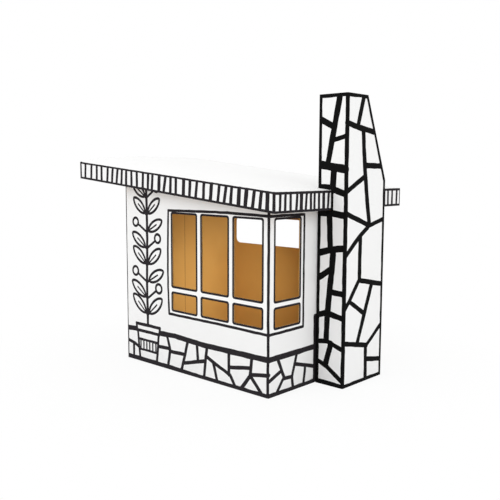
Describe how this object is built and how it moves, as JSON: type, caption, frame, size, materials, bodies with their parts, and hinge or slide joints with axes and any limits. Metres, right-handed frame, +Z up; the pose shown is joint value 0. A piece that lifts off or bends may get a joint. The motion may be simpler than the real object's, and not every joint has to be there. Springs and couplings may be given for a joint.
{
  "type": "cardboard playhouse",
  "caption": "Cardboard playhouse with a corner window, a sloping tray roof with deep overhangs and a stone-print chimney hooked over the roof's edge.",
  "frame": {"origin": "middle of the footprint's box, roof and chimney included, on the floor", "axes": "+X along the front wall towards the chimney, +Y from the front wall to the back, +Z up"},
  "size_m": [1.771, 1.188, 1.605],
  "materials": {
    "wall_board": "white-coated corrugated board outside, bare brown kraft inside and on cut edges",
    "roof_board": "white-coated corrugated board outside, bare brown kraft inside and on cut edges",
    "chimney_board": "white-coated corrugated board outside, bare brown kraft inside and on cut edges",
    "ink": "matt black print"
  },
  "bodies": {
    "root": {"walls": "wall_board", "roof": "roof_board", "chimney": "chimney_board"}
  },
  "joints": []
}
